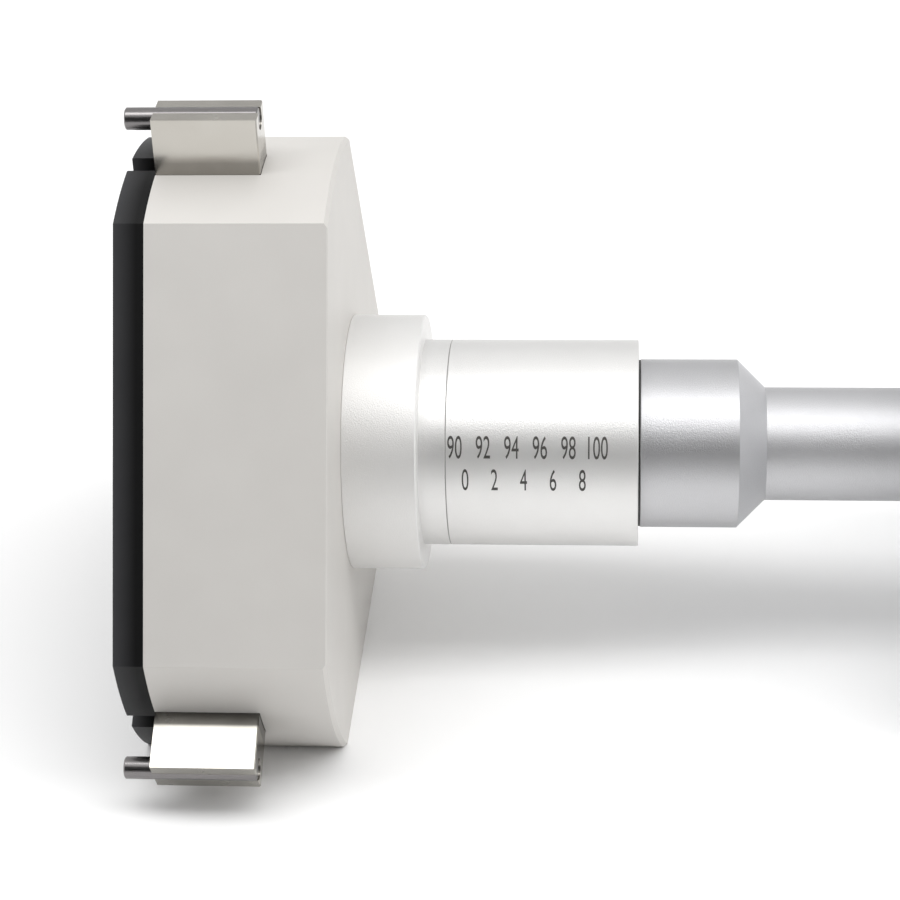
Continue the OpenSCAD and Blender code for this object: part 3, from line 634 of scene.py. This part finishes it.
# %% Display frame
DISPLAY_DEGREES = 60
DISPLAY_TURN = Matrix.Rotation(math.radians(DISPLAY_DEGREES), 4, "X")


def display_box(node_name):
    """Lowest and highest corner of a node, measured in the frame of the display."""
    turned_back = DISPLAY_TURN.inverted()
    points = [turned_back @ v.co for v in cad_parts[node_name].data.vertices]
    low = Vector([min(p[axis] for p in points) for axis in range(3)])
    high = Vector([max(p[axis] for p in points) for axis in range(3)])
    return low, high


def thicken(bm, height):
    """Extrudes a sheet that lies in the XY plane into a closed plate."""
    grown = bmesh.ops.extrude_face_region(bm, geom=bm.faces[:])
    risen = [part for part in grown["geom"] if isinstance(part, bmesh.types.BMVert)]
    bmesh.ops.translate(bm, verts=risen, vec=(0, 0, height))
    bmesh.ops.recalc_face_normals(bm, faces=bm.faces)


def place_on_display(bm, x, y, z):
    """Moves a piece to its place in the frame of the display, and turns it with the display."""
    bmesh.ops.translate(bm, verts=bm.verts, vec=(x, y, z))
    bmesh.ops.transform(bm, matrix=DISPLAY_TURN, verts=bm.verts)


# %% Measures of the display
window_low, window_high = display_box("display_window")
window_mid = (window_low + window_high) / 2
panel_z = display_box("lcd_panel")[1].z
front_z = display_box("housing_front")[1].z
print("window in mm", [round(x / MM, 1) for x in window_high - window_low])

# %% [markdown]
# ### Bezel
# A thin black frame covers the edge of the window. A Boolean could cut its opening, but an inset
# keeps the border equally wide all round. The frame starts as one flat face: its corners are
# rounded with a bevel of the vertices, the inset marks the opening, and the ring that is left is
# extruded. A last small bevel takes the sharpness off its upper edges.

# %% Bezel round the window
BEZEL_BORDER = 2.4 * MM
BEZEL_OVERLAP = 1.3 * MM
BEZEL_RADIUS = 4.2 * MM
BEZEL_THICK = 0.4 * MM
BEZEL_SUNK = 0.05 * MM
BEZEL_EDGE = 0.12 * MM
CORNER_STEPS = 8
EDGE_STEPS = 2
# Faces that meet at more than this angle, in radians, meet in a sharp edge
SHARP_ANGLE = 1

bm = bmesh.new()
bmesh.ops.create_grid(bm, x_segments=1, y_segments=1, size=0.5)
bezel_size = window_high - window_low + 2 * Vector((BEZEL_BORDER, BEZEL_BORDER, 0))
bmesh.ops.scale(bm, verts=bm.verts, vec=(bezel_size.x, bezel_size.y, 1))
bmesh.ops.bevel(bm, geom=bm.verts[:], offset=BEZEL_RADIUS, affect="VERTICES",
                segments=CORNER_STEPS, profile=0.5, material=-1)
rim = bmesh.ops.inset_region(bm, faces=bm.faces[:], thickness=BEZEL_BORDER + BEZEL_OVERLAP,
                             use_boundary=True, use_even_offset=True)
opening = [face for face in bm.faces if face not in rim["faces"]]
bmesh.ops.delete(bm, geom=opening, context="FACES")
thicken(bm, BEZEL_THICK)
sharp = [edge for edge in bm.edges if edge.calc_face_angle(0) > SHARP_ANGLE]
upper = [edge for edge in sharp if min(v.co.z for v in edge.verts) > BEZEL_THICK / 2]
bmesh.ops.bevel(bm, geom=upper, offset=BEZEL_EDGE, affect="EDGES",
                segments=EDGE_STEPS, profile=0.5, material=-1)
place_on_display(bm, window_mid.x, window_mid.y, front_z - BEZEL_SUNK)
finish_piece("display_bezel", bm, "frame", finishes["switch_plastic"])

# %% [markdown]
# ### Digits
# The display shows the diameter over the contacts in seven-segment digits. A text object has no such
# letters without a font file, so each digit is put together from its segments, as on the real
# panel. A segment is a circle of six corners that is pulled apart in the middle, so that both of
# its ends are pointed.

# %% One segment
DIGIT_WIDTH = 3.4 * MM
DIGIT_HEIGHT = 7.6 * MM
DIGIT_PITCH = 5.6 * MM
POINT_PITCH = 1.8 * MM
SEGMENT_WIDTH = 1.0 * MM
SEGMENT_GAP = 0.12 * MM
SEGMENT_THICK = 0.04 * MM
DIGIT_SLANT = 0.1
LIT_SEGMENTS = {"0": "abcdef", "1": "bc", "2": "abged", "3": "abgcd", "4": "fgbc",
                "5": "afgcd", "6": "afgedc", "7": "abc", "8": "abcdefg", "9": "abcdfg"}
# Place of each segment in half widths and quarter heights, and whether it lies flat
SEGMENT_PLACES = {"a": (0, 2, True), "b": (1, 1, False), "c": (1, -1, False), "d": (0, -2, True),
                  "e": (-1, -1, False), "f": (-1, 1, False), "g": (0, 0, True)}


def add_segment(bm, x, letter):
    """Adds one flat segment of the digit that is centred at x."""
    right, up, flat = SEGMENT_PLACES[letter]
    radius = SEGMENT_WIDTH / math.sqrt(3)
    length = (DIGIT_WIDTH if flat else DIGIT_HEIGHT / 2) - 2 * SEGMENT_GAP
    verts = bmesh.ops.create_circle(bm, cap_ends=True, segments=6, radius=radius)["verts"]
    for v in verts:
        v.co.y += math.copysign(length / 2 - radius, v.co.y)
    if flat:
        bmesh.ops.rotate(bm, verts=verts, matrix=Matrix.Rotation(math.radians(90), 3, "Z"))
    bmesh.ops.translate(bm, verts=verts, vec=(x + right * DIGIT_WIDTH / 2, up * DIGIT_HEIGHT / 4, 0))


# %% Digits of the reading
DOT_SIDES = 16
DOT_RADIUS = SEGMENT_WIDTH / 2

contact_reach = max(math.hypot(v.co.y, v.co.z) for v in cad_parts["contact_pin_1"].data.vertices)
reading = f"{round(2 * contact_reach / MM, 1):.3f}"
bm = bmesh.new()
cursor = 0.0
for letter in reading:
    if letter == ".":
        dot = bmesh.ops.create_circle(bm, cap_ends=True, segments=DOT_SIDES, radius=DOT_RADIUS)["verts"]
        dot_x = cursor - (DIGIT_PITCH - POINT_PITCH) / 2
        bmesh.ops.translate(bm, verts=dot, vec=(dot_x, -DIGIT_HEIGHT / 2, 0))
        cursor += POINT_PITCH / 2
    else:
        for segment in LIT_SEGMENTS[letter]:
            add_segment(bm, cursor, segment)
        cursor += DIGIT_PITCH
slant = Matrix.Identity(4)
slant[0][1] = DIGIT_SLANT
bmesh.ops.transform(bm, matrix=slant, verts=bm.verts)
thicken(bm, SEGMENT_THICK)
digits_x = window_mid.x - (cursor - DIGIT_PITCH) / 2
place_on_display(bm, digits_x, window_mid.y, panel_z - SEGMENT_THICK / 4)
finish_piece("display_digits", bm, "frame", paint)
print("reading", reading)

# %% [markdown]
# ### Keys
# Each key sits in a raised ring on the housing and carries a simple painted sign. The operators have
# no ready ring, so a small circle is spun round the key. The signs are flat shapes that are
# extruded a little, and they ride on the keys so that they move with them.

# %% Rings round the keys
RING_GAP = 0.25 * MM
RING_TUBE = 0.4 * MM
RING_SIDES = 10
RING_STEPS = 48


def key_place(number):
    """Middle and highest corner of a key, in the frame of the display."""
    low, high = display_box(f"button_{number}")
    return (low + high) / 2, high


bm = bmesh.new()
for number in (1, 2, 3):
    key_mid, key_high = key_place(number)
    key_r = key_high.x - key_mid.x
    start = bmesh.ops.create_circle(bm, segments=RING_SIDES, radius=RING_TUBE)["verts"]
    bmesh.ops.rotate(bm, verts=start, matrix=Matrix.Rotation(math.radians(90), 3, "X"))
    bmesh.ops.translate(bm, verts=start, vec=(key_mid.x + key_r + RING_GAP, key_mid.y, front_z))
    edges = list({edge for v in start for edge in v.link_edges})
    bmesh.ops.spin(bm, geom=start + edges, cent=(key_mid.x, key_mid.y, front_z), axis=(0, 0, 1),
                   angle=2 * math.pi, steps=RING_STEPS, use_merge=True)
bmesh.ops.remove_doubles(bm, verts=bm.verts, dist=SAME_POINT)
bmesh.ops.recalc_face_normals(bm, faces=bm.faces)
bmesh.ops.transform(bm, matrix=DISPLAY_TURN, verts=bm.verts)
finish_piece("key_rings", bm, "frame", finishes["housing_plastic"])

# %% Shapes of the signs
SIGN_RADIUS = 1.5 * MM
SIGN_LINE = 0.36 * MM
SIGN_STEPS = 36
POWER_ARC = 290
POWER_BAR = 1.1 * SIGN_RADIUS
POWER_BAR_UP = 0.8 * SIGN_RADIUS
ZERO_STRETCH = (0.65, 1.1, 1)
ARROW_RADIUS = 0.75 * SIGN_RADIUS
ARROW_UP = 0.6 * SIGN_RADIUS


def add_arc(bm, degrees):
    """Adds a flat band bent round the origin, with its opening, if it has one, at the top."""
    first = Matrix.Rotation(math.radians((360 - degrees) / 2), 3, "Z")
    ends = [bm.verts.new(first @ Vector((0, SIGN_RADIUS + side * SIGN_LINE / 2, 0))) for side in (-1, 1)]
    line = bm.edges.new(ends)
    bmesh.ops.spin(bm, geom=ends + [line], cent=(0, 0, 0), axis=(0, 0, 1), angle=math.radians(degrees),
                   steps=SIGN_STEPS, use_merge=degrees == 360)


def power_sign(bm):
    """An open ring with a bar in its opening."""
    add_arc(bm, POWER_ARC)
    bar = bmesh.ops.create_grid(bm, x_segments=1, y_segments=1, size=0.5)["verts"]
    bmesh.ops.scale(bm, verts=bar, vec=(SIGN_LINE, POWER_BAR, 1))
    bmesh.ops.translate(bm, verts=bar, vec=(0, POWER_BAR_UP, 0))


def zero_sign(bm):
    """A narrow ring."""
    add_arc(bm, 360)
    bmesh.ops.scale(bm, verts=bm.verts, vec=ZERO_STRETCH)


def arrows_sign(bm):
    """One triangle that points up and one that points down."""
    for turn in (0, 180):
        arrow = bmesh.ops.create_circle(bm, cap_ends=True, segments=3, radius=ARROW_RADIUS)["verts"]
        bmesh.ops.translate(bm, verts=arrow, vec=(0, ARROW_UP, 0))
        bmesh.ops.rotate(bm, verts=arrow, matrix=Matrix.Rotation(math.radians(turn), 3, "Z"))


# %% Signs on the keys
SIGN_THICK = 0.05 * MM

for number, sign in enumerate((power_sign, zero_sign, arrows_sign), 1):
    key_mid, key_high = key_place(number)
    bm = bmesh.new()
    sign(bm)
    bmesh.ops.remove_doubles(bm, verts=bm.verts, dist=SAME_POINT)
    thicken(bm, SIGN_THICK)
    place_on_display(bm, key_mid.x, key_mid.y, key_high.z - SIGN_THICK / 3)
    finish_piece(f"key_sign_{number}", bm, f"button_{number}", paint)

# %% [markdown]
# ## Knurl on the thimble
# Two sets of crossing grooves leave rows of small pyramids on the grip. Bump in the material would
# leave its outline smooth, so the pyramids are modelled. They start as a flat grid as long as the
# grip and as wide as its girth. Every second point is lifted, as on the black squares of a
# chessboard, and new edges between the low points fold each square along its valley. The sheet is
# then wrapped round the axis, and its two ends are drawn in and bridged.

# %% Folded sheet
KNURL_FROM_FRONT = 8.5 * MM
KNURL_FROM_END = 2.3 * MM
KNURL_PITCH = 0.62 * MM
KNURL_HEIGHT = 0.34 * MM
KNURL_SUNK = 0.05 * MM

thimble_low, thimble_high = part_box("thimble")
grip_r = thimble_high.z - KNURL_SUNK
grip_from = thimble_low.x + KNURL_FROM_FRONT
grip_len = thimble_high.x - KNURL_FROM_END - grip_from
rows = round(grip_len / KNURL_PITCH)
columns = 2 * round(math.pi * grip_r / KNURL_PITCH)
bm = bmesh.new()
bmesh.ops.create_grid(bm, x_segments=rows, y_segments=columns, size=0.5)
for v in bm.verts:
    row = round((v.co.x + 0.5) * rows)
    column = round((v.co.y + 0.5) * columns)
    v.co.z = KNURL_HEIGHT if (row + column) % 2 == 0 and 0 < row < rows else 0
bmesh.ops.connect_verts(bm, verts=[v for v in bm.verts if v.co.z == 0])
print("knurl of", rows, "by", columns, "points")

# %% Knurl round the grip
KNURL_WALL = 0.4 * MM

for v in bm.verts:
    angle = v.co.y * 2 * math.pi
    out = grip_r + v.co.z
    v.co = (grip_from + (v.co.x + 0.5) * grip_len, out * math.cos(angle), out * math.sin(angle))
bmesh.ops.remove_doubles(bm, verts=bm.verts, dist=SAME_POINT)
ends = bmesh.ops.extrude_edge_only(bm, edges=[e for e in bm.edges if e.is_boundary])["geom"]
shrink = 1 - KNURL_WALL / grip_r
end_points = [part for part in ends if isinstance(part, bmesh.types.BMVert)]
bmesh.ops.scale(bm, verts=end_points, vec=(1, shrink, shrink))
bmesh.ops.bridge_loops(bm, edges=[e for e in bm.edges if e.is_boundary])
bmesh.ops.recalc_face_normals(bm, faces=bm.faces)
print("open edges of the knurl:", sum(not e.is_manifold for e in bm.edges))
finish_piece("thimble_knurl", bm, "thimble", finishes["sleeve_satin"])

# %% [markdown]
# ## Return springs
# A small spring behind each anvil draws it in when the cone moves away. One end rests on a stop pin
# in the head, the other end in a pocket of the anvil. The imported spring is one stiff solid. A copy of
# it, with its doubled points merged, stands in its place, and the imported one is hidden.

# %% Return springs
for number in (1, 2, 3):
    node_name = f"return_spring_{number}"
    bm = bmesh.new()
    bm.from_mesh(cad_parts[node_name].data)
    bmesh.ops.remove_doubles(bm, verts=bm.verts, dist=SAME_POINT)
    spring = make_piece(f"return_coil_{number}", bm, finishes["inner_steel"])
    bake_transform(spring)
    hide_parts(node_name)
